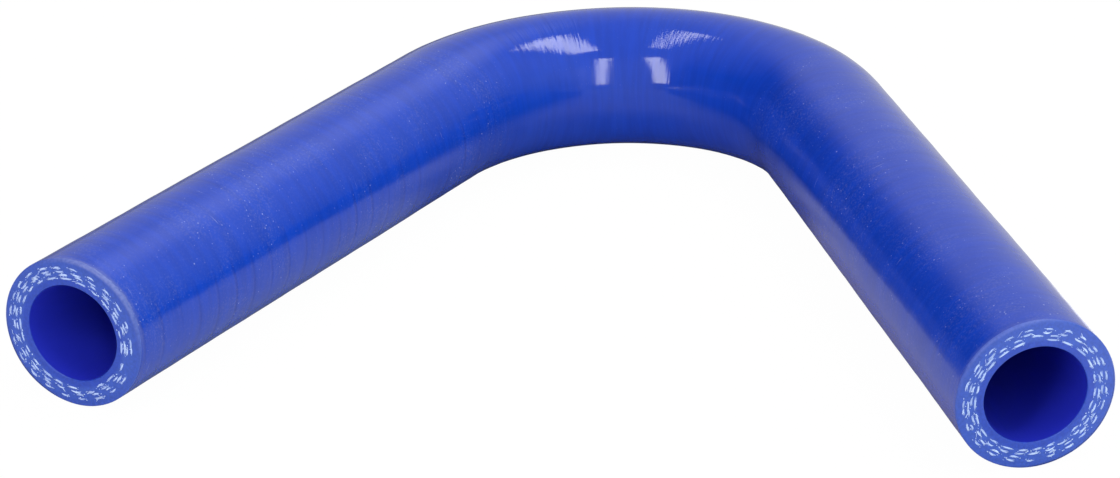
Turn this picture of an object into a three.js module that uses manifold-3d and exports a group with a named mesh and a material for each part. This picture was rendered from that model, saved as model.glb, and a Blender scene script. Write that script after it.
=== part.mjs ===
// A silicone elbow hose for a car's coolant circuit: one cured piece that turns through 135
// degrees, so its two straight legs come back at 45 degrees to each other. The wall is a liner,
// four plies of fabric and a cover. The plies show only on the two trimmed ends, as short cut
// yarns that lie a little below the face of the silicone.
// Millimetres and degrees. The hose lies on its side on z = 0 with the bend towards +y, and the
// origin is at the middle of its footprint.

import * as THREE from "three";
import { mergeVertices, toCreasedNormals } from "three/addons/utils/BufferGeometryUtils.js";
import Module from "manifold-3d";

const wasm = await Module();
wasm.setup();

// The wall, from the bore outwards
const boreDiameter = 16;
const linerThickness = 1.2;
const plyCount = 4;
const plyThickness = 0.5;
const coverThickness = 1.2;

// The centreline: two straight legs and the bend between them
const bendRadius = 37.2;
const bendAngle = 135;
const legALength = 101.5;
const legBLength = 107;

// The ends are trimmed by hand, a little out of square
const trimAYaw = 6;
const trimAPitch = -1;
const trimBYaw = 0;
const trimBPitch = 3.5;
const trimAllowance = 4;

// The yarns in one ply, as they show on a trimmed end
const yarnPitch = 2.8;
const yarnLength = 1.7;
const yarnThickness = 0.3;
const yarnRecess = 0.25;
const yarnCrimp = 0.12;

// How finely the round forms are divided
const sectionSides = 40;
const bendSteps = 22;

const boreRadius = boreDiameter / 2;
const clothRadius = boreRadius + linerThickness;
const outerRadius = clothRadius + plyCount * plyThickness + coverThickness;

const up = new THREE.Vector3(0, 0, 1);
const turn = THREE.MathUtils.degToRad(bendAngle);

// The centreline about the bend's centre. One step covers each leg, and the rest share the bend.
class ElbowCentreline extends THREE.Curve {
  steps = bendSteps + 2;

  // The angle round the bend's centre, from end A to end B
  angleAt(t) {
    const alongBend = THREE.MathUtils.clamp((t * this.steps - 1) / bendSteps, 0, 1);
    return Math.PI / 2 + turn / 2 - alongBend * turn;
  }

  // The length of leg still to come before the bend, or already passed after it
  legLengthAt(t) {
    const station = t * this.steps;
    const beforeBend = Math.max(0, 1 - station) * (legALength + trimAllowance);
    const afterBend = Math.max(0, station - 1 - bendSteps) * (legBLength + trimAllowance);
    return afterBend - beforeBend;
  }

  getTangent(t, target = new THREE.Vector3()) {
    const angle = this.angleAt(t);
    return target.set(Math.sin(angle), -Math.cos(angle), 0);
  }

  getPoint(t, target = new THREE.Vector3()) {
    const angle = this.angleAt(t);
    const bend = new THREE.Vector3(Math.cos(angle), Math.sin(angle), 0).multiplyScalar(bendRadius);
    return this.getTangent(t, target).multiplyScalar(this.legLengthAt(t)).add(bend);
  }

  getPointAt(t, target) {
    return this.getPoint(t, target);
  }

  getTangentAt(t, target) {
    return this.getTangent(t, target);
  }
}

// A closed mesh as a solid, moved to its place
function solid(geometry, place = new THREE.Matrix4()) {
  const surface = geometry.clone().applyMatrix4(place);
  surface.deleteAttribute("normal");
  surface.deleteAttribute("uv");
  const merged = mergeVertices(surface, 1e-4);
  return new wasm.Manifold(
    new wasm.Mesh({
      numProp: 3,
      vertProperties: merged.attributes.position.array,
      triVerts: Uint32Array.from(merged.index.array),
    }),
  );
}

// The wall swept along the centreline, with both legs left long for trimming
function curedTube(centreline) {
  const section = new THREE.Shape().absarc(0, 0, outerRadius, 0, 2 * Math.PI, false);
  section.holes.push(new THREE.Path().absarc(0, 0, boreRadius, 0, 2 * Math.PI, true));
  return solid(
    new THREE.ExtrudeGeometry(section, {
      steps: centreline.steps,
      curveSegments: sectionSides / 2,
      extrudePath: centreline,
    }),
  );
}

// The frame of a trimmed end: the origin where the leg's axis meets the cut, x level, z outwards.
// Yaw turns the cut towards the inside of the elbow and pitch turns it towards the ground.
function trimmedEnd(centreline, t, length, yaw, pitch) {
  const side = t < 0.5 ? -1 : 1;
  const outward = centreline.getTangent(t).multiplyScalar(side);
  const bendEnd = centreline.getPoint((t < 0.5 ? 1 : bendSteps + 1) / centreline.steps);
  const origin = bendEnd.addScaledVector(outward, length);
  const normal = outward.clone().applyAxisAngle(up, -side * THREE.MathUtils.degToRad(yaw));
  const level = new THREE.Vector3().crossVectors(up, normal).normalize();
  normal.applyAxisAngle(level, THREE.MathUtils.degToRad(pitch));
  const rise = new THREE.Vector3().crossVectors(normal, level);
  return new THREE.Matrix4().makeBasis(level, rise, normal).setPosition(origin);
}

// What is cut away past a trimmed end
function offcut(end) {
  const width = 4 * outerRadius;
  const depth = 2 * (trimAllowance + outerRadius);
  const block = new THREE.BoxGeometry(width, width, depth).translate(0, 0, depth / 2);
  return solid(block, end);
}

// One cut yarn's place: a thin sliver along the ply, arched where it passes over the yarn it crosses
function yarnSliver(radius, bow) {
  const half = yarnLength / 2;
  const inner = radius - yarnThickness / 2 + bow;
  const outer = radius + yarnThickness / 2 + bow;
  const sag = half * half / (2 * radius);
  const outline = new THREE.Shape([
    new THREE.Vector2(half, radius - sag),
    new THREE.Vector2(half / 2, outer - sag / 4),
    new THREE.Vector2(-half / 2, outer - sag / 4),
    new THREE.Vector2(-half, radius - sag),
    new THREE.Vector2(-half / 2, inner - sag / 4),
    new THREE.Vector2(half / 2, inner - sag / 4),
  ]);
  const depth = 2 * yarnRecess;
  return new THREE.ExtrudeGeometry(outline, { depth, bevelEnabled: false }).translate(0, 0, -yarnRecess);
}

// All the yarns of one trimmed end. Neighbouring plies are half a pitch apart and bow opposite ways.
function cutYarns(end) {
  const yarns = [];
  for (let ply = 0; ply < plyCount; ply++) {
    const radius = clothRadius + (ply + 0.5) * plyThickness;
    const count = Math.round((2 * Math.PI * radius) / yarnPitch);
    const bow = ply % 2 ? yarnCrimp : -yarnCrimp;
    const sliver = yarnSliver(radius, bow);
    const phase = Math.floor(ply / 2) / 2;
    for (let i = 0; i < count; i++) {
      const spin = new THREE.Matrix4().makeRotationZ((2 * Math.PI * (i + phase)) / count);
      yarns.push(solid(sliver, end.clone().multiply(spin)));
    }
  }
  return yarns;
}

// The solid as a mesh with two finishes: the silicone, and the cut yarns set into its ends
function hoseMesh(silicone, yarns) {
  const yarnId = yarns.originalID();
  const { vertProperties, triVerts, runIndex, runOriginalID } = silicone.subtract(yarns).getMesh();
  const geometry = new THREE.BufferGeometry()
    .setAttribute("position", new THREE.BufferAttribute(vertProperties, 3))
    .setIndex(new THREE.BufferAttribute(triVerts, 1));
  runOriginalID.forEach((id, run) => {
    geometry.addGroup(runIndex[run], runIndex[run + 1] - runIndex[run], id === yarnId ? 1 : 0);
  });
  return new THREE.Mesh(toCreasedNormals(geometry, THREE.MathUtils.degToRad(30)), [
    new THREE.MeshStandardMaterial({ name: "blue silicone", color: 0x1f3fc4, roughness: 0.25, metalness: 0 }),
    new THREE.MeshStandardMaterial({ name: "polyester yarn", color: 0xdfe6f5, roughness: 0.85, metalness: 0 }),
  ]);
}

const centreline = new ElbowCentreline();
const endA = trimmedEnd(centreline, 0, legALength, trimAYaw, trimAPitch);
const endB = trimmedEnd(centreline, 1, legBLength, trimBYaw, trimBPitch);
const trimmed = curedTube(centreline).subtract(offcut(endA)).subtract(offcut(endB));
const yarns = [...cutYarns(endA), ...cutYarns(endB)].reduce((all, yarn) => all.add(yarn));

const hose = hoseMesh(trimmed.asOriginal(), yarns.asOriginal());
hose.name = "elbow_hose";

// The middle of the footprint goes to the origin, and the hose lies on z = 0
hose.geometry.computeBoundingBox();
const { min, max } = hose.geometry.boundingBox;
hose.position.set(-(min.x + max.x) / 2, -(min.y + max.y) / 2, -min.z);

const group = new THREE.Group();
group.name = "silicone elbow hose";
group.add(hose);

export default group;
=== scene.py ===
import math
import random

import bpy
import numpy as np
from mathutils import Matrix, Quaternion, Vector


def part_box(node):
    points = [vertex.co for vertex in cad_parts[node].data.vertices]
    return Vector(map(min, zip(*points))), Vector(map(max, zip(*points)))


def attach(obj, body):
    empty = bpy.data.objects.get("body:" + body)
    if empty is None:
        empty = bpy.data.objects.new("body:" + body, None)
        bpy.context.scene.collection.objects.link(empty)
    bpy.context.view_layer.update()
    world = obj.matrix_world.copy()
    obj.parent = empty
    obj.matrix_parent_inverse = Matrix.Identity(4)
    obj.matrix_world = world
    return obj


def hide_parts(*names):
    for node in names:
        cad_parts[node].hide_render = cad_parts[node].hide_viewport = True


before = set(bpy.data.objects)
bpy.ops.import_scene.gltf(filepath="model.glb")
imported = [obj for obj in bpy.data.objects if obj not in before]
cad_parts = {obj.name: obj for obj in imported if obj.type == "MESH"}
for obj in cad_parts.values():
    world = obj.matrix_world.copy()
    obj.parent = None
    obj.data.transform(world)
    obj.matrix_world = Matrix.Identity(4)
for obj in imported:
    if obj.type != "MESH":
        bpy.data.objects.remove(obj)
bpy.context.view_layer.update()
rng = random.Random(24)
mm = 0.001

# A blue silicone elbow hose lying on its side, with both cut ends towards the camera.
# The sizes below are in millimetres and degrees. A point of the hose is given by its place on the
# straightened hose: s along the axis from the start of the bend, then a radius and an angle round
# the axis, 0 towards the inside of the bend and 90 straight up.

hose = {
    "outerRadius": 12.4,
    "boreRadius": 8.0,
    "bendRadius": 37.2,
    "bendAngle": 135,
    "legLength": {"A": 101.5, "B": 107},
    "trimYaw": {"A": 6, "B": 0},          # how far a cut turns towards the inside of the bend
    "trimPitch": {"A": -1, "B": 3.5},     # how far a cut turns towards the ground
    "outerEdge": 0.22,                    # rounding left by the knife
    "wornEdge": 0.4,                      # more of it on the side where the ends are handled
    "wornSide": 70,                       # the angle of that side
    "boreEdge": 0.2,
    "knifeWaves": [                       # height, waves round the cut, turn of them per mm outwards
        (0.025, 3, 1),
        (0.015, 7, -1.3),
    ],
    "sides": 120,
    "coverRings": 500,
    "boreRings": 110,
    "faceRings": 14,
    "edgeRings": 5,
}

wrap = {
    "lead": 9.5,             # one turn of the curing tape
    "step": 0.03,            # height of the mark that the tape's edge leaves
    "edge": 0.3,             # share of the lead that the mark's steep side takes
    "stretched": (4, 20, 56, 68),    # the tape lay flat round the bend: no mark between the middle two
    "sways": [               # slow unevenness of the cover: height, length, turns round the hose, start
        (0.02, 61, 1, 0),
        (0.012, 37, 2, 1.7),
        (0.008, 19, -1, 3.4),
    ],
}

bendTurn = math.radians(hose["bendAngle"])
bendLength = bendTurn * hose["bendRadius"]
endPlace = {"A": -hose["legLength"]["A"], "B": bendLength + hose["legLength"]["B"]}
outward = {"A": -1, "B": 1}
boxLow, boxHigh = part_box("elbow_hose")
crown = max((vertex.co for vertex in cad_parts["elbow_hose"].data.vertices), key=lambda co: co.y)
bendCentre = np.array([
    crown.x / mm,
    boxHigh.y / mm - hose["bendRadius"] - hose["outerRadius"],
    (boxLow.z + boxHigh.z) / 2 / mm,
])


# the axis at s: a point, the direction along it, and the direction to the inside of the bend
def axisAt(s):
    inBend = np.clip(s, 0, bendLength)
    angle = math.pi / 2 + bendTurn / 2 - inBend / hose["bendRadius"]
    zero = np.zeros_like(angle)
    along = np.stack([np.sin(angle), -np.cos(angle), zero], -1)
    fromCentre = np.stack([np.cos(angle), np.sin(angle), zero], -1)
    point = bendCentre + hose["bendRadius"] * fromCentre + (s - inBend)[..., None] * along
    return point, along, -fromCentre


# places on the straightened hose as points of the room, in metres
def bent(s, radius, angle):
    s, radius, angle = np.broadcast_arrays(np.asarray(s, float), radius, angle)
    point, _, inwards = axisAt(s)
    sideways = (radius * np.cos(angle))[..., None] * inwards
    upwards = (radius * np.sin(angle))[..., None] * np.array([0, 0, 1])
    return (point + sideways + upwards) * mm


# where a cut end lies along the axis, for any place on it
def cutAt(end, radius, angle):
    lean = np.tan(np.radians(hose["trimYaw"][end])) * radius * np.cos(angle)
    lean = lean - np.tan(np.radians(hose["trimPitch"][end])) * radius * np.sin(angle)
    for height, waves, turn in hose["knifeWaves"]:
        lean = lean + height * np.sin(waves * angle + turn * radius)
    return endPlace[end] - outward[end] * lean


def edgeRounding(angle):
    worn = np.clip(np.cos(angle - math.radians(hose["wornSide"])), 0, 1) ** 2
    return hose["outerEdge"] + hose["wornEdge"] * worn


# how far the cover stands off its nominal radius
def relief(s, angle):
    phase = np.mod(s / wrap["lead"] + angle / (2 * math.pi), 1)
    fall = np.clip((phase - 1 + wrap["edge"]) / wrap["edge"], 0, 1)
    height = phase - fall * fall * (3 - 2 * fall)
    height = wrap["step"] * height * np.interp(s, wrap["stretched"], (1, 0, 0, 1))
    for size, length, turns, start in wrap["sways"]:
        height = height + size * np.sin(2 * math.pi * s / length + turns * angle + start)
    return height - wrap["step"]


def meshFrom(name, points, faces, materials, faceMaterial):
    mesh = bpy.data.meshes.new(name)
    mesh.from_pydata(points.reshape(-1, 3).tolist(), [], faces)
    for material in materials:
        mesh.materials.append(material)
    mesh.polygons.foreach_set("material_index", faceMaterial)
    mesh.polygons.foreach_set("use_smooth", [True] * len(faces))
    mesh.update()
    piece = bpy.data.objects.new(name, mesh)
    bpy.context.scene.collection.objects.link(piece)
    return piece


def pointValues(piece, name, kind, values):
    attribute = piece.data.attributes.new(name, kind, "POINT")
    field = "vector" if kind == "FLOAT_VECTOR" else "value"
    attribute.data.foreach_set(field, np.asarray(values, np.float32).ravel())


# One closed skin, row by row: the cover from end A to end B, round end B's cut, back through the
# bore, and round end A's cut. A row has the name of its skin, and s and the radius at each angle.
def hoseRows(angle):
    outer, bore = hose["outerRadius"], hose["boreRadius"]
    flat = np.zeros_like(angle)
    rows = []

    def addRow(skin, s, radius):
        rows.append((skin, s + flat, radius + flat))

    def edgeRows(end, radius, rounding, side, opening):
        turns = [(ring + 0.5) / hose["edgeRings"] * math.pi / 2 for ring in range(hose["edgeRings"])]
        for turn in turns if opening else reversed(turns):
            away = radius - side * rounding * (1 - math.cos(turn))
            back = rounding * (1 - math.sin(turn))
            addRow("face", cutAt(end, away, angle) - outward[end] * back, away)

    def faceRows(end, radii):
        for radius in radii:
            addRow("face", cutAt(end, radius, angle), radius)

    outerEdge = edgeRounding(angle)
    starts = {end: cutAt(end, outer, angle) - outward[end] * outerEdge for end in "AB"}
    mouths = {end: cutAt(end, bore, angle) - outward[end] * hose["boreEdge"] for end in "AB"}
    outside = {end: outer + relief(starts[end], angle) for end in "AB"}
    faceRadii = np.linspace(outer - outerEdge, bore + hose["boreEdge"] + flat, hose["faceRings"])
    for share in np.linspace(0, 1, hose["coverRings"]):
        s = starts["A"] + (starts["B"] - starts["A"]) * share
        addRow("cover", s, outer + relief(s, angle))
    edgeRows("B", outside["B"], outerEdge, 1, True)
    faceRows("B", faceRadii)
    edgeRows("B", bore, hose["boreEdge"], -1, False)
    for share in np.linspace(0, 1, hose["boreRings"]):
        addRow("bore", mouths["B"] + (mouths["A"] - mouths["B"]) * share, bore)
    edgeRows("A", bore, hose["boreEdge"], -1, True)
    faceRows("A", faceRadii[::-1])
    edgeRows("A", outside["A"], outerEdge, 1, False)
    return rows


# the materials are those of the cover, the cut faces and the bore
def buildHose(materials):
    sides = hose["sides"]
    angle = np.arange(sides) * 2 * math.pi / sides
    skins, s, radius = zip(*hoseRows(angle))
    s, radius = np.stack(s), np.stack(radius)
    faces = []
    faceMaterial = []
    for row, skin in enumerate(skins):
        following = (row + 1) % len(skins)
        for side in range(sides):
            turned = (side + 1) % sides
            faces.append((
                row * sides + side,
                following * sides + side,
                following * sides + turned,
                row * sides + turned,
            ))
            faceMaterial.append(("cover", "face", "bore").index(skin))
    piece = meshFrom("hose_wall", bent(s, radius, angle), faces, materials, faceMaterial)
    across = radius * np.cos(angle)
    height = radius * np.sin(angle)
    pointValues(piece, "tubePos", "FLOAT_VECTOR", np.stack([s - endPlace["A"], across, height], -1))
    fromCut = np.minimum(s - cutAt("A", radius, angle), cutAt("B", radius, angle) - s)
    pointValues(piece, "fromCut", "FLOAT", fromCut)
    return piece


# Each ply is a plain weave cut across. A yarn shows as a dash of a few filaments where it passes over
# a crossing one, and loose bits lie round it.
yarn = {
    "plies": [9.3, 9.85, 10.45, 11.0],      # radius of each ply, from the liner outwards
    "shift": {"A": (0.35, 200), "B": (0.1, 330)},    # the plies lie off centre: by how much, which way
    "spots": 24,                # places round each ply where a yarn can show
    "missing": 0.04,            # share of them where none does
    "waver": (0.3, 1.5),        # how far, in spots, and how often a pair of plies slides to and fro
    "pairSlide": 0.22,          # in spots, from a pair of plies to the next
    "plySlide": 0.1,            # in spots, within a pair
    "slideStray": 0.06,         # in spots
    "radiusStray": 0.05,
    "strand": {"sides": 5, "points": 7, "taper": 0.18},
    "dash": {
        "length": 1.7,
        "stretch": (0.75, 1.1),
        "bow": 0.11,            # two neighbouring plies bow apart, so that their dashes enclose a lens
        "bowShare": (0.5, 1.3),
        "slant": 0.03,
        "shade": (0.7, 1),
        "runs": 0.45,           # share of the inner ply's dashes that lie along the cut,
        "runStretch": 1.3,      # and are longer
        "runBow": 0.3,          # and straighter
    },
    "filament": {
        "count": 4,
        "gap": 0.065,           # from one to the next
        "gapStray": 0.012,
        "length": (0.65, 1),    # share of the dash
        "slide": 0.16,
        "slant": 0.02,
        "lift": (-0.04, 0.02),  # off the cut
        "arch": 0.03,
        "thickness": 0.06,
        "thicknessShare": (0.6, 1.15),
        "shade": (0.45, 1),
    },
    "tuft": {                   # a small loose bit by a dash
        "count": (2, 5),
        "slide": 1.1,
        "reach": (0.05, 0.16),
        "off": 0.3,             # the ply
        "slant": 0.04,
        "lift": 0.02,
        "arch": 0.03,
        "thickness": 0.065,
        "shade": (0.15, 1),
    },
    "bridge": {                 # a strand to the next ply
        "share": 0.08,          # of the spots
        "slide": 0.5,
        "reach": 0.35,
        "off": 0.3,
        "slant": 0.28,
        "lift": 0.01,
        "thickness": 0.06,
        "shade": (0.5, 0.9),
    },
    "hair": {                   # a long loose filament anywhere
        "count": 10,
        "reach": (0.3, 0.8),
        "slant": 0.45,
        "curl": (0.08, 3),
        "lift": 0.03,
        "rise": (0.02, 0.1),
        "thickness": 0.035,
        "shade": (0.7, 1),
    },
}

span = np.linspace(-1, 1, yarn["strand"]["points"])     # along a strand
arch = 1 - span ** 2


def stray(reach):
    return rng.uniform(-reach, reach)


def between(limits):
    return rng.uniform(*limits)


def plyCentre(end, radius, angle):
    offset, towards = yarn["shift"][end]
    return radius + offset * math.cos(angle - math.radians(towards))


# a thin tapering filament through a row of points on a cut end
def addStrand(strands, end, radii, angles, lifts, thickness, shade):
    sides, taper = yarn["strand"]["sides"], yarn["strand"]["taper"]
    length = len(span)
    point = bent(cutAt(end, radii, angles) + outward[end] * lifts, radii, angles)
    _, along, _ = axisAt(np.full(length, endPlace[end]))
    forward = np.gradient(point, axis=0)
    forward /= np.linalg.norm(forward, axis=1, keepdims=True)
    rise = outward[end] * along
    across = np.cross(forward, rise)
    width = np.sin(np.linspace(taper, math.pi - taper, length)) ** 0.5 * thickness * mm
    for side in range(sides):
        turn = 2 * math.pi * side / sides
        offset = math.cos(turn) * across + math.sin(turn) * rise
        strands["points"].append(point + offset * width[:, None])
    first = strands["count"]
    for side in range(sides):
        near = first + side * length
        far = first + (side + 1) % sides * length
        for step in range(length - 1):
            strands["faces"].append((near + step, near + step + 1, far + step + 1, far + step))
    strands["faces"].append([first + side * length for side in range(sides)])
    strands["faces"].append([first + side * length + length - 1 for side in reversed(range(sides))])
    strands["count"] += sides * length
    strands["shade"].extend([shade] * (sides * length))


def addDash(strands, end, ply, middle, centre):
    dash, filament = yarn["dash"], yarn["filament"]
    run = ply == 0 and rng.random() < dash["runs"]
    half = dash["length"] / 2 * (dash["runStretch"] if run else between(dash["stretch"]))
    shade = between(dash["shade"])
    slant = stray(dash["slant"])
    bow = (-1, 1)[ply % 2] * dash["bow"] * (dash["runBow"] if run else between(dash["bowShare"]))
    for index in range(filament["count"]):
        place = (index + 0.5 - filament["count"] / 2) * filament["gap"] + stray(filament["gapStray"])
        length = half * between(filament["length"])
        slide = stray(filament["slide"])
        tilt = slant + stray(filament["slant"])
        angles = middle + (slide + span * length) / centre
        radii = centre + place + bow * arch + tilt * span
        lifts = between(filament["lift"]) + filament["arch"] * arch
        thickness = filament["thickness"] * between(filament["thicknessShare"])
        addStrand(strands, end, radii, angles, lifts, thickness, shade * between(filament["shade"]))


def addTufts(strands, end, middle, centre):
    tuft = yarn["tuft"]
    for index in range(rng.randint(*tuft["count"])):
        place = middle + stray(tuft["slide"]) / centre
        angles = place + span * between(tuft["reach"]) / centre
        radii = centre + stray(tuft["off"]) + span * stray(tuft["slant"])
        lifts = tuft["lift"] + tuft["arch"] * arch
        addStrand(strands, end, radii, angles, lifts, tuft["thickness"], between(tuft["shade"]))


def addBridge(strands, end, middle, centre):
    bridge = yarn["bridge"]
    side = rng.choice((-1, 1))
    angles = middle + side * (bridge["slide"] + bridge["reach"] * span) / centre
    radii = centre + bridge["off"] + bridge["slant"] * span
    shade = between(bridge["shade"])
    addStrand(strands, end, radii, angles, bridge["lift"], bridge["thickness"], shade)


def addHair(strands, end):
    hair = yarn["hair"]
    middle = rng.uniform(0, 2 * math.pi)
    centre = plyCentre(end, rng.choice(yarn["plies"]), middle)
    slant = stray(hair["slant"])
    angles = middle + span * between(hair["reach"]) / centre
    size, turns = hair["curl"]
    radii = centre + slant * span + size * np.sin(turns * span)
    lifts = hair["lift"] + between(hair["rise"]) * (1 + span)
    addStrand(strands, end, radii, angles, lifts, hair["thickness"], between(hair["shade"]))


def buildYarns(end, material):
    strands = {"points": [], "faces": [], "shade": [], "count": 0}
    pitch = 2 * math.pi / yarn["spots"]
    sway, turns = yarn["waver"]
    drifts = [rng.uniform(0, 2 * math.pi) for pair in yarn["plies"][::2]]
    for ply, plyRadius in enumerate(yarn["plies"]):
        pair = ply // 2
        lean = stray(yarn["slideStray"])
        for spot in range(yarn["spots"]):
            if rng.random() < yarn["missing"]:
                continue
            slide = sway * math.sin(turns * spot * pitch + drifts[pair])
            slide += yarn["pairSlide"] * pair + yarn["plySlide"] * (ply % 2) + lean
            middle = pitch * (spot + slide + stray(yarn["slideStray"]))
            centre = plyCentre(end, plyRadius, middle) + stray(yarn["radiusStray"])
            addDash(strands, end, ply, middle, centre)
            addTufts(strands, end, middle, centre)
            if rng.random() < yarn["bridge"]["share"]:
                addBridge(strands, end, middle, centre)
    for index in range(yarn["hair"]["count"]):
        addHair(strands, end)
    points = np.concatenate(strands["points"])
    piece = meshFrom("cut_yarns_" + end, points, strands["faces"], [material], [0] * len(strands["faces"]))
    pointValues(piece, "shade", "FLOAT", strands["shade"])
    return piece


def node(tree, kind, **settings):
    made = tree.nodes.new(kind)
    for key, value in settings.items():
        if key == "sockets":
            for socket, setting in value.items():
                made.inputs[socket].default_value = setting
        else:
            setattr(made, key, value)
    return made


def link(tree, source, target):
    tree.links.new(source, target)


def newMaterial(name):
    material = bpy.data.materials.new(name)
    material.use_nodes = True
    tree = material.node_tree
    return material, tree, tree.nodes["Principled BSDF"]


def newGroup(name, inputs, output):
    tree = bpy.data.node_groups.new(name, "ShaderNodeTree")
    tree.interface.new_socket("Position", in_out="INPUT", socket_type="NodeSocketVector")
    for socket, value in inputs.items():
        made = tree.interface.new_socket(socket, in_out="INPUT", socket_type="NodeSocketFloat")
        made.default_value = value
    tree.interface.new_socket(output, in_out="OUTPUT", socket_type="NodeSocketFloat")
    return tree, node(tree, "NodeGroupInput").outputs, node(tree, "NodeGroupOutput").inputs[output]


def useGroup(tree, group, position, values):
    made = node(tree, "ShaderNodeGroup", node_tree=group)
    link(tree, position, made.inputs["Position"])
    for name, value in values.items():
        if isinstance(value, float):
            made.inputs[name].default_value = value
        else:
            link(tree, value, made.inputs[name])
    return made.outputs[0]


def split(tree, vector):
    parts = node(tree, "ShaderNodeSeparateXYZ")
    link(tree, vector, parts.inputs[0])
    return parts.outputs


def noiseAt(tree, position, scale, detail, roughness=0.5):
    made = node(tree, "ShaderNodeTexNoise", sockets={
        "Scale": scale,
        "Detail": detail,
        "Roughness": roughness,
    })
    link(tree, position, made.inputs["Vector"])
    return made.outputs[0]


# from one range to another, clamped
def ramp(tree, source, fromRange, toRange=(0, 1), smooth=True):
    made = node(tree, "ShaderNodeMapRange")
    if smooth:
        made.interpolation_type = "SMOOTHSTEP"
    for end, place in (("Min", 0), ("Max", 1)):
        made.inputs["From " + end].default_value = fromRange[place]
        made.inputs["To " + end].default_value = toRange[place]
    link(tree, source, made.inputs["Value"])
    return made.outputs[0]


def combine(tree, operation, first, second=None):
    made = node(tree, "ShaderNodeMath", operation=operation)
    for place, source in enumerate((first, second)):
        if isinstance(source, (int, float)):
            made.inputs[place].default_value = source
        elif source is not None:
            link(tree, source, made.inputs[place])
    return made.outputs[0]


def product(tree, first, *others):
    for other in others:
        first = combine(tree, "MULTIPLY", first, other)
    return first


# one colour over another by a mask, or one value over another
def layer(tree, mask, below, above, kind="RGBA"):
    made = node(tree, "ShaderNodeMix", data_type=kind)
    link(tree, mask, made.inputs["Factor"])
    for name, source in (("A", below), ("B", above)):
        if isinstance(source, (tuple, float)):
            made.inputs[name].default_value = source
        else:
            link(tree, source, made.inputs[name])
    return made.outputs["Result"]


def scaleColour(tree, colour, factor):
    made = node(tree, "ShaderNodeMix", data_type="RGBA", blend_type="MULTIPLY", sockets={"Factor": 1.0})
    link(tree, colour, made.inputs["A"])
    link(tree, factor, made.inputs["B"])
    return made.outputs["Result"]


# a height in mm as a normal, over the normal below it
def bump(tree, height, size, below=None):
    made = node(tree, "ShaderNodeBump", sockets={"Strength": 1.0, "Distance": size * mm})
    link(tree, height, made.inputs["Height"])
    if below:
        link(tree, below, made.inputs["Normal"])
    return made.outputs[0]


# pale specks of dust, each with a size of its own
def buildSpecks():
    inputs = {"Spacing": 2.5, "Size": 0.12, "Share": 0.3}
    tree, source, result = newGroup("dustSpecks", inputs, "Mask")
    shrink = node(tree, "ShaderNodeVectorMath", operation="DIVIDE")
    link(tree, source["Position"], shrink.inputs[0])
    link(tree, source["Spacing"], shrink.inputs[1])
    cells = node(tree, "ShaderNodeTexVoronoi", sockets={"Scale": 1.0, "Randomness": 1.0})
    link(tree, shrink.outputs[0], cells.inputs["Vector"])
    chance = node(tree, "ShaderNodeSeparateColor")
    link(tree, cells.outputs["Color"], chance.inputs[0])
    distance = combine(tree, "MULTIPLY", cells.outputs["Distance"], source["Spacing"])
    inside = node(tree, "ShaderNodeMapRange", interpolation_type="SMOOTHSTEP", sockets={
        "To Min": 1,
        "To Max": 0,
    })
    link(tree, distance, inside.inputs["Value"])
    link(tree, combine(tree, "MULTIPLY", chance.outputs[1], source["Size"]), inside.inputs["From Max"])
    lucky = combine(tree, "LESS_THAN", chance.outputs[0], source["Share"])
    link(tree, combine(tree, "MULTIPLY", inside.outputs[0], lucky), result)
    return tree


# fine lines round the hose, noise that is stretched on the straightened hose
def buildWrapLines():
    inputs = {"Along": 1.5, "Around": 0.06, "Detail": 3.0}
    tree, source, result = newGroup("wrapLines", inputs, "Height")
    stretch = node(tree, "ShaderNodeCombineXYZ")
    for place, name in enumerate(("Along", "Around", "Around")):
        link(tree, source[name], stretch.inputs[place])
    scaled = node(tree, "ShaderNodeVectorMath", operation="MULTIPLY")
    link(tree, source["Position"], scaled.inputs[0])
    link(tree, stretch.outputs[0], scaled.inputs[1])
    lines = node(tree, "ShaderNodeTexNoise", sockets={"Scale": 1.0, "Roughness": 0.6})
    link(tree, scaled.outputs[0], lines.inputs["Vector"])
    link(tree, source["Detail"], lines.inputs["Detail"])
    link(tree, lines.outputs[0], result)
    return tree


specks = buildSpecks()
wrapLines = buildWrapLines()

# Parts of the cover, each by the ranges in mm over which it sets in: along from end A, across towards
# the inside of the bend, and height above the axis.
zones = {
    "legA": [("along", 116, 100)],
    "legB": [("along", 174, 194)],
    "dullLegA": [("along", 115, 85)],
    "dullLegB": [("along", 170, 195)],
    "innerLegB": [("height", 3.4, 4.6), ("height", 7.5, 6), ("across", 0, 4), ("along", 170, 188)],
    "crookLeft": [("height", 6.8, 5.4), ("across", 0, 4), ("along", 106, 118), ("along", 134, 130)],
    "crookRight": [("height", 6.8, 5.4), ("across", 0, 4), ("along", 154, 158), ("along", 184, 174)],
    "leftShoulder": [("height", 7.6, 9), ("along", 112, 118), ("along", 135, 131)],
    "rightShoulder": [("height", 7.6, 9), ("along", 146, 149), ("along", 170, 162)],
    "underLegA": [("height", 6, 3), ("along", 108, 90)],
    "topOfLegA": [("height", 11.4, 12.2), ("along", 108, 90)],
    "handledAndLitSide": [("height", -4, 9), ("across", -11, 3)],
}

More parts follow.
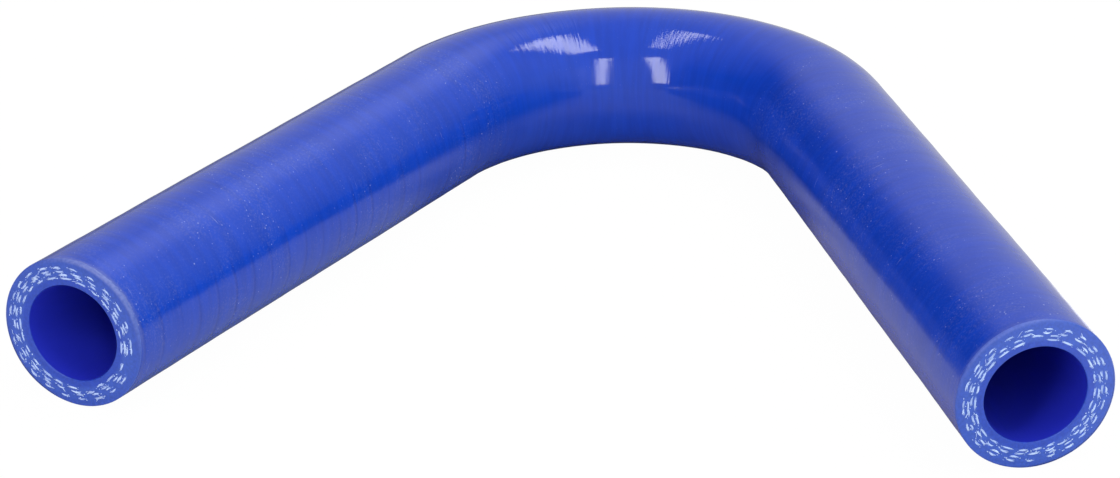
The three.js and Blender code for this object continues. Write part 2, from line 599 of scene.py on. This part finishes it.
cover = {
    "refraction": 1.55,
    "blue": (0.003, 0.035, 0.385, 1),
    "paleBlue": (0.005, 0.046, 0.425, 1),
    "cloud": {"scale": 0.09, "detail": 4.0},      # noise for what varies slowly
    "grain": {"scale": 0.8, "detail": 5.0},       # and for what varies more quickly
    "stripes": {"Along": 0.7, "Around": 0.09, "Detail": 4.0},
    "stripeShade": ((0.3, 0.7), (0.92, 1.08)),    # how much the blue varies from turn to turn of the tape
    "paleGrey": (0.30, 0.31, 0.36, 1),
    "greyingHeight": (3, 12.4),                      # mm above the axis, over which the blue turns greyer towards the top
    "greyingShare": 0.005,
    "greyingPatches": ((0.3, 0.7), (0.6, 1.4)),      # range of the noise, and what it stands for
    "film": {"scale": 2.5, "detail": 4.0, "roughness": 0.7},    # fine dust in spots on the legs
    "filmRange": (0.46, 0.7),
    "filmShare": 0.115,
    "filmPatches": ((0.45, 0.62), (0.3, 1)),
    "speck": (0.6, 0.68, 0.9, 1),
    "speckShares": (0.08, 0.5),                   # how plain the specks are on the bend and on the legs
    "smallSpecks": {"Spacing": 0.6, "Size": 0.18, "Share": 0.32},
    "largeSpecks": {"Spacing": 2.6, "Size": 0.22, "Share": 0.25},
    "hairlines": {"Along": 3.5, "Around": 0.16, "Detail": 1.0},
    "hairlineShade": ((0.76, 0.82), (0, 0.35)),
    "rimDustAndHighlight": (0.22, 0.24, 0.38, 1),              # dust and wear near the cuts, with a painted highlight along the rim
    "rimMarkReach": 1.5,                           # mm from the cut
    "rimMarkFull": 0.1,                            # mm from the cut, where it is strongest
    "rimMarkFade": (100, 200),                     # mm along the hose, where it fades towards end B
    "rimMarkOther": 0.35,                          # share of it on end B
    "rimMarkPatches": ((0.3, 0.65), (0.3, 0.6)),
    "rimMarkRough": 0.4,
    # painted shadow: the colour that the grooves of the creases are darkened towards
    "creaseShadow": (0.003, 0.02, 0.24, 1),
    "creaseLead": 4.7,                            # mm from one to the next
    "creaseWidth": 0.12,                          # share of that, to each side
    "creasePatches": ((0.35, 0.55), (0.3, 1)),
    "creaseOnTop": 0.5,                           # share of what they are below
    "creaseShade": 0.35,
    "creaseHeight": 0.03,
    "roughness": ((0.35, 0.7), (0.07, 0.11)),
    "rougher": {                                  # how much is added, by zone
        "dullLegA": 0.07,
        "dullLegB": 0.07,
        "innerLegB": 0.08,
        "crookLeft": 0.11,
        "crookRight": 0.11,
    },
    "waves": {"Along": 0.45, "Around": 0.04, "Detail": 2.0},
    "waveHeight": 0.022,
    "lines": {"Along": 2.6, "Around": 0.05, "Detail": 1.0},
    "lineHeight": 0.04,
    "lineShare": 0.18,                            # of that height, in general
    "livelier": {"leftShoulder": 0.52, "rightShoulder": 0.5},    # and more of it, by zone
}


# a place on the straightened hose by the axes that the zones use
def axesOf(tree, position):
    return dict(zip(("along", "across", "height"), split(tree, position)))


def placeOnHose(tree):
    position = node(tree, "ShaderNodeAttribute", attribute_name="tubePos").outputs["Vector"]
    return position, axesOf(tree, position)


def zoneMask(tree, at, name):
    return product(tree, *[ramp(tree, at[axis], (start, full)) for axis, start, full in zones[name]])


# dust and wear near a cut, on the side that is handled, and a painted highlight along the rim there
def buildEndDustAndHighlight():
    tree, source, result = newGroup("endDustAndHighlight", {"Near": 1.0, "Patches": 1.0}, "Mask")
    at = axesOf(tree, source["Position"])
    fade = ramp(tree, at["along"], cover["rimMarkFade"], (1, cover["rimMarkOther"]))
    handled = product(tree, zoneMask(tree, at, "handledAndLitSide"), source["Near"], fade)
    link(tree, product(tree, handled, source["Patches"]), result)
    return tree


endDustAndHighlight = buildEndDustAndHighlight()


# The groove of the creases, 0 in the middle and 1 outside, and how strong they are. They show on the
# underside of leg A and, weaker, along its top. Along the grooves the blue is painted darker: painted
# shade.
def creaseMasks(tree, at, cloud):
    turn = combine(tree, "FRACT", combine(tree, "DIVIDE", at["along"], cover["creaseLead"]))
    fromMiddle = combine(tree, "ABSOLUTE", combine(tree, "SUBTRACT", turn, 0.5))
    groove = ramp(tree, fromMiddle, (0, cover["creaseWidth"]))
    onTop = product(tree, zoneMask(tree, at, "topOfLegA"), cover["creaseOnTop"])
    creased = combine(tree, "MAXIMUM", zoneMask(tree, at, "underLegA"), onTop)
    return groove, product(tree, creased, ramp(tree, cloud, *cover["creasePatches"]))


# greyer towards the top, a film of dust in spots, and specks and hairlines over it
def dusted(tree, colour, position, at, cloud, grain):
    # the blue turns slightly greyer towards the top of the hose
    greyerUpwards = ramp(tree, at["height"], cover["greyingHeight"], (0, cover["greyingShare"]))
    greyerUpwards = product(tree, greyerUpwards, ramp(tree, grain, *cover["greyingPatches"]))
    colour = layer(tree, greyerUpwards, colour, cover["paleGrey"])
    onLegs = combine(tree, "ADD", zoneMask(tree, at, "legA"), zoneMask(tree, at, "legB"))
    patches = ramp(tree, cloud, *cover["filmPatches"])
    film = noiseAt(tree, position, **cover["film"])
    film = ramp(tree, film, cover["filmRange"], (0, cover["filmShare"]))
    colour = layer(tree, product(tree, film, onLegs, patches), colour, cover["paleGrey"])
    small = product(tree, useGroup(tree, specks, position, cover["smallSpecks"]), patches)
    large = useGroup(tree, specks, position, cover["largeSpecks"])
    hairline = useGroup(tree, wrapLines, position, cover["hairlines"])
    hairline = ramp(tree, hairline, *cover["hairlineShade"])
    marks = combine(tree, "MAXIMUM", combine(tree, "MAXIMUM", small, large), hairline)
    marks = product(tree, marks, ramp(tree, onLegs, (0, 1), cover["speckShares"]))
    return layer(tree, marks, colour, cover["speck"])


def coverMaterial():
    material, tree, surface = newMaterial("blueSilicone")
    surface.inputs["IOR"].default_value = cover["refraction"]
    position, at = placeOnHose(tree)
    cloud = noiseAt(tree, position, **cover["cloud"])
    grain = noiseAt(tree, position, **cover["grain"])
    groove, creased = creaseMasks(tree, at, cloud)
    fromCut = node(tree, "ShaderNodeAttribute", attribute_name="fromCut").outputs["Fac"]
    # dust near each cut, and a painted highlight along its rim at the top on the inside of the bend
    rimDustAndHighlight = useGroup(tree, endDustAndHighlight, position, {
        "Near": ramp(tree, fromCut, (cover["rimMarkReach"], cover["rimMarkFull"])),
        "Patches": ramp(tree, grain, *cover["rimMarkPatches"]),
    })

    colour = layer(tree, cloud, cover["blue"], cover["paleBlue"])
    stripes = useGroup(tree, wrapLines, position, cover["stripes"])
    colour = scaleColour(tree, colour, ramp(tree, stripes, *cover["stripeShade"]))
    # painted shade: the blue is darker along the grooves of the creases
    shadow = product(tree, combine(tree, "SUBTRACT", 1.0, groove), creased, cover["creaseShade"])
    colour = layer(tree, shadow, colour, cover["creaseShadow"])
    colour = dusted(tree, colour, position, at, cloud, grain)
    link(tree, layer(tree, rimDustAndHighlight, colour, cover["rimDustAndHighlight"]), surface.inputs["Base Color"])

    rough = ramp(tree, cloud, *cover["roughness"])
    for zone, more in cover["rougher"].items():
        rough = combine(tree, "ADD", rough, product(tree, zoneMask(tree, at, zone), more))
    rough = combine(tree, "ADD", rough, product(tree, rimDustAndHighlight, cover["rimMarkRough"]))
    link(tree, rough, surface.inputs["Roughness"])

    lively = cover["lineShare"]
    for zone, more in cover["livelier"].items():
        lively = combine(tree, "ADD", lively, product(tree, zoneMask(tree, at, zone), more))
    waves = useGroup(tree, wrapLines, position, cover["waves"])
    lines = useGroup(tree, wrapLines, position, cover["lines"])
    normal = bump(tree, waves, cover["waveHeight"])
    normal = bump(tree, product(tree, lines, lively), cover["lineHeight"], normal)
    normal = bump(tree, product(tree, groove, creased), cover["creaseHeight"], normal)
    link(tree, normal, surface.inputs["Normal"])
    return material


face = {
    "liner": (0.014, 0.056, 0.44, 1),
    "cloth": (0.03, 0.087, 0.47, 1),
    "cover": (0.027, 0.079, 0.45, 1),
    "bands": [(0.2, "liner"), (0.32, "cloth"), (0.68, "cloth"), (0.8, "cover")],    # shares of the wall
    "mottle": {"scale": 2.2, "detail": 4.0},
    "mottleShade": (0.65, 1.3),
    "mottleHeight": 0.05,
    "rim": (11.7, 12.2),                # radius over which the rim's dust and painted highlight set in
    "rimPatches": ((0.3, 0.65), (0.2, 0.4)),
    "roughness": 0.42,
}


def faceMaterial():
    material, tree, surface = newMaterial("cutSilicone")
    surface.inputs["Roughness"].default_value = face["roughness"]
    position, at = placeOnHose(tree)
    flatten = node(tree, "ShaderNodeCombineXYZ")
    link(tree, at["across"], flatten.inputs[1])
    link(tree, at["height"], flatten.inputs[2])
    measure = node(tree, "ShaderNodeVectorMath", operation="LENGTH")
    link(tree, flatten.outputs[0], measure.inputs[0])
    radius = measure.outputs["Value"]
    bands = node(tree, "ShaderNodeValToRGB")
    while len(bands.color_ramp.elements) < len(face["bands"]):
        bands.color_ramp.elements.new(0.5)
    for element, (share, name) in zip(bands.color_ramp.elements, face["bands"]):
        element.position = share
        element.color = face[name]
    throughWall = ramp(tree, radius, (hose["boreRadius"], hose["outerRadius"]), smooth=False)
    link(tree, throughWall, bands.inputs[0])
    mottle = noiseAt(tree, position, **face["mottle"])
    shade = ramp(tree, mottle, (0, 1), face["mottleShade"], smooth=False)
    colour = scaleColour(tree, bands.outputs[0], shade)
    # dust near the rim of the cut, and a painted highlight along it at the top on the inside of the bend
    rimDustAndHighlight = useGroup(tree, endDustAndHighlight, position, {
        "Near": ramp(tree, radius, face["rim"]),
        "Patches": ramp(tree, mottle, *face["rimPatches"]),
    })
    link(tree, layer(tree, rimDustAndHighlight, colour, cover["rimDustAndHighlight"]), surface.inputs["Base Color"])
    link(tree, bump(tree, mottle, face["mottleHeight"]), surface.inputs["Normal"])
    return material


bore = {
    "blue": (0.018, 0.028, 0.50, 1),
    "roughness": 0.3,
    "lines": {"Along": 0.05, "Around": 1.2, "Detail": 2.0},    # drawn along by the mandrel
    "lineHeight": 0.02,
}


def boreMaterial():
    material, tree, surface = newMaterial("linerSilicone")
    surface.inputs["Base Color"].default_value = bore["blue"]
    surface.inputs["Roughness"].default_value = bore["roughness"]
    position = node(tree, "ShaderNodeAttribute", attribute_name="tubePos").outputs["Vector"]
    lines = useGroup(tree, wrapLines, position, bore["lines"])
    link(tree, bump(tree, lines, bore["lineHeight"]), surface.inputs["Normal"])
    return material


thread = {
    "white": (0.6, 0.74, 1.0, 1),
    "soaked": (0.09, 0.19, 0.62, 1),    # where the silicone has gone in
    "roughness": 0.7,
}


def yarnMaterial():
    material, tree, surface = newMaterial("whiteYarn")
    surface.inputs["Roughness"].default_value = thread["roughness"]
    shade = node(tree, "ShaderNodeAttribute", attribute_name="shade").outputs["Fac"]
    link(tree, layer(tree, shade, thread["soaked"], thread["white"]), surface.inputs["Base Color"])
    return material


studio = {
    "floorSize": 0.7,
    "floorGrey": 0.45,                 # in reflections
    # painted shade on the floor in the crook of the elbow, and painted light on it beyond the leg of end
    # B, both seen only in reflections
    "crookShade": 0.6,                 # how much darker the floor is in the crook of the elbow
    "crookReach": (0.008, 0.022),      # metres from the centre of the bend
    "crookDepth": (-0.012, 0.004),     # metres behind it
    "litFloor": 2.7,                   # how much lighter the floor is beyond the leg of end B
    "litReach": (0.03, 0.07),          # metres from the centre of the bend, across that leg
    "paperWhite": 0.8,                 # for the soft light off the paper
    "paperAlbedo": (0.95, 0.95, 0.95, 1),    # where the camera sees its shading
    "shadowShare": 0.015,              # how much of the floor's own shading the camera sees
    "white": (1, 1, 1, 1),
}

# The pale surroundings. Ranges are of the parts of a direction of length 1. The ceiling and the walls
# have a range upwards and the brightness over it, as reflections show it. A wall sets in over a range
# sideways, and is dark on the left and, low down, on the right.
room = {
    "ceiling": ((0.6, 0.9), (0.6, 0.468)),
    "rightWall": ((0, 0.75), (0.1, 0.68)),
    "leftWall": ((0.42, 1), (0, 0.5)),
    "toTheRight": (0.15, 1),
    "toTheLeft": (-0.3, -0.7),
    "patch": 0.62,                     # one lit patch of wall at the back
    "patchDirection": (20, 46),        # azimuth from +Y towards +X, and elevation
    "patchReach": (0.93, 1),           # cosine of the angle from there
    "fromAround": 0.16,                # soft light from each side
    "fromRight": 1.05,
    "fromAbove": 0.55,
    "fromFront": -0.14,                # towards -Y
    "leftTint": (1, 0.8, 1, 1),
    "rightTint": (1, 1.17, 1, 1),
    "tintFade": (-0.3, 0.7),
}


# a direction by its azimuth from +Y towards +X, and its elevation
def directionTo(azimuth, elevation):
    azimuth, elevation = math.radians(azimuth), math.radians(elevation)
    level = math.cos(elevation)
    return Vector((level * math.sin(azimuth), level * math.cos(azimuth), math.sin(elevation)))


# one shader for the camera, and one for all that lights the hose or shows in it
def showBoth(tree, output, toCamera, toHose):
    path = node(tree, "ShaderNodeLightPath")
    seen = node(tree, "ShaderNodeMixShader")
    link(tree, path.outputs["Is Camera Ray"], seen.inputs["Fac"])
    link(tree, toHose, seen.inputs[1])
    link(tree, toCamera, seen.inputs[2])
    link(tree, seen.outputs[0], output.inputs["Surface"])


def paperMaterial():
    material, tree, surface = newMaterial("whitePaper")
    tree.nodes.remove(surface)
    place = node(tree, "ShaderNodeNewGeometry").outputs["Position"]
    fromCentre = node(tree, "ShaderNodeVectorMath", operation="SUBTRACT")
    fromCentre.inputs[1].default_value = (bendCentre[0] * mm, bendCentre[1] * mm, 0)
    link(tree, place, fromCentre.inputs[0])
    away = node(tree, "ShaderNodeVectorMath", operation="LENGTH")
    link(tree, fromCentre.outputs[0], away.inputs[0])
    behind = split(tree, fromCentre.outputs[0])[1]
    # painted shade in the crook of the elbow and painted light beyond the leg of end B, in the floor's
    # tone for what the hose reflects
    paintedCrookShade = product(
        tree,
        ramp(tree, away.outputs["Value"], studio["crookReach"]),
        ramp(tree, behind, studio["crookDepth"]),
        -studio["crookShade"],
    )
    beyond = node(tree, "ShaderNodeVectorMath", operation="DOT_PRODUCT")
    beyond.inputs[1].default_value = tuple(-axisAt(np.array(endPlace["B"]))[2])
    link(tree, fromCentre.outputs[0], beyond.inputs[0])
    paintedFloorLight = ramp(tree, beyond.outputs["Value"], studio["litReach"], (1, studio["litFloor"]))
    tone = product(tree, combine(tree, "ADD", paintedCrookShade, 1.0), studio["floorGrey"], paintedFloorLight)
    diffuse = node(tree, "ShaderNodeLightPath").outputs["Is Diffuse Ray"]
    shaded = node(tree, "ShaderNodeBsdfDiffuse")
    link(tree, layer(tree, diffuse, tone, studio["paperWhite"], "FLOAT"), shaded.inputs["Color"])
    bright = node(tree, "ShaderNodeBsdfDiffuse", sockets={"Color": studio["paperAlbedo"]})
    white = node(tree, "ShaderNodeEmission", sockets={"Color": studio["white"], "Strength": 1.0})
    paper = node(tree, "ShaderNodeMixShader", sockets={"Fac": 1 - studio["shadowShare"]})
    link(tree, bright.outputs[0], paper.inputs[1])
    link(tree, white.outputs[0], paper.inputs[2])
    showBoth(tree, tree.nodes["Material Output"], paper.outputs[0], shaded.outputs[0])
    return material


def buildFloor():
    half = studio["floorSize"] / 2
    mesh = bpy.data.meshes.new("floor")
    corners = [(-half, -half, 0), (half, -half, 0), (half, half, 0), (-half, half, 0)]
    mesh.from_pydata(corners, [], [(0, 1, 2, 3)])
    mesh.materials.append(paperMaterial())
    floor = bpy.data.objects.new("floor", mesh)
    bpy.context.scene.collection.objects.link(floor)


def buildWorld():
    world = bpy.data.worlds.new("studio")
    bpy.context.scene.world = world
    world.use_nodes = True
    tree = world.node_tree
    tree.nodes.clear()
    direction = node(tree, "ShaderNodeTexCoord").outputs["Generated"]
    sideways, depth, upwards = split(tree, direction)

    ceiling = ramp(tree, upwards, *room["ceiling"])
    rightWall = ramp(tree, upwards, *room["rightWall"], smooth=False)
    leftWall = ramp(tree, upwards, *room["leftWall"], smooth=False)
    level = layer(tree, ramp(tree, sideways, room["toTheRight"]), ceiling, rightWall, "FLOAT")
    level = layer(tree, ramp(tree, sideways, room["toTheLeft"]), level, leftWall, "FLOAT")
    patch = node(tree, "ShaderNodeVectorMath", operation="DOT_PRODUCT")
    patch.inputs[1].default_value = directionTo(*room["patchDirection"])
    link(tree, direction, patch.inputs[0])
    glow = ramp(tree, patch.outputs["Value"], room["patchReach"], smooth=False)
    level = combine(tree, "ADD", level, product(tree, glow, glow, room["patch"]))

    soft = room["fromAround"]
    for source, share in ((sideways, "fromRight"), (upwards, "fromAbove"), (depth, "fromFront")):
        lobe = combine(tree, "MAXIMUM", product(tree, source, room[share]), 0.0)
        soft = combine(tree, "ADD", soft, lobe)
    diffuse = node(tree, "ShaderNodeLightPath").outputs["Is Diffuse Ray"]
    tint = layer(tree, ramp(tree, sideways, room["tintFade"]), room["leftTint"], room["rightTint"])
    around = node(tree, "ShaderNodeBackground")
    link(tree, layer(tree, diffuse, studio["white"], tint), around.inputs["Color"])
    link(tree, layer(tree, diffuse, level, soft, "FLOAT"), around.inputs["Strength"])
    white = node(tree, "ShaderNodeBackground", sockets={"Color": studio["white"], "Strength": 1.0})
    output = node(tree, "ShaderNodeOutputWorld")
    showBoth(tree, output, white.outputs[0], around.outputs[0])


# Two lamps stand in front and face the bend. Two hang overhead and face down, each turned a little
# about the vertical. Sizes and places are in metres, and the places are from the point aimed at.
lamps = {
    "frontRight": {"direction": (160, 29), "distance": 1.5, "size": (0.175, 1.2)},
    "frontLeft": {"direction": (206, 30), "distance": 1.5, "size": (0.28, 1.13)},
    "overheadRight": {"place": (0.49, -0.03, 1.5), "turn": 4, "size": (0.4, 1.14)},
    "overheadLeft": {"place": (-0.5, 0.04, 1.5), "turn": 4.4, "size": (0.115, 1.15)},
}

light = {
    "watts": 20,               # for each square metre of a lamp
    "colour": (1, 0.98, 0.92),
    "aimDepth": 0.8,           # share of the bend's radius behind its centre
}


def buildLamps():
    behind = hose["bendRadius"] * mm * light["aimDepth"]
    target = Vector(bendCentre * mm) + Vector((0, behind, 0))
    for name, lamp in lamps.items():
        data = bpy.data.lights.new(name, "AREA")
        data.shape = "RECTANGLE"
        data.size, data.size_y = lamp["size"]
        data.energy = light["watts"] * data.size * data.size_y
        data.color = light["colour"]
        holder = bpy.data.objects.new(name, data)
        bpy.context.scene.collection.objects.link(holder)
        if "place" in lamp:
            holder.location = target + Vector(lamp["place"])
            holder.rotation_euler.z = math.radians(lamp["turn"])
        else:
            away = directionTo(*lamp["direction"]) * lamp["distance"]
            holder.location = target + away
            holder.rotation_euler = (-away).to_track_quat("-Z", "Y").to_euler()
        holder.visible_camera = False


view = {
    "azimuth": 10.5,           # 0 looks along +Y
    "elevation": 24.04,
    "roll": -1.9,
    "distance": 562.9,
    "aim": (-3.8, -36.4, 0),   # from the centre of the bend
    "lens": 111.0,
    "sensorWidth": 36,
    "clipStart": 0.01,         # metres
}


def buildCamera():
    data = bpy.data.cameras.new("camera")
    data.lens = view["lens"]
    data.sensor_width = view["sensorWidth"]
    data.clip_start = view["clipStart"]
    camera = bpy.data.objects.new("camera", data)
    bpy.context.scene.collection.objects.link(camera)
    back = directionTo(180 - view["azimuth"], view["elevation"])
    aim = (Vector(bendCentre) + Vector(view["aim"])) * mm
    camera.location = aim + back * view["distance"] * mm
    camera.rotation_mode = "QUATERNION"
    level = (-back).to_track_quat("-Z", "Y")
    camera.rotation_quaternion = level @ Quaternion((0, 0, 1), math.radians(view["roll"]))
    bpy.context.scene.camera = camera


print("materials")
silicones = [coverMaterial(), faceMaterial(), boreMaterial()]
whiteYarn = yarnMaterial()

print("pieces")
wall = buildHose(silicones)
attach(wall, "root")
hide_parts("elbow_hose")
for end in "AB":
    yarns = buildYarns(end, whiteYarn)
    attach(yarns, "root")

print("studio")
buildFloor()
buildWorld()
buildLamps()
buildCamera()
bpy.context.scene.view_settings.view_transform = "Standard"

print("done")
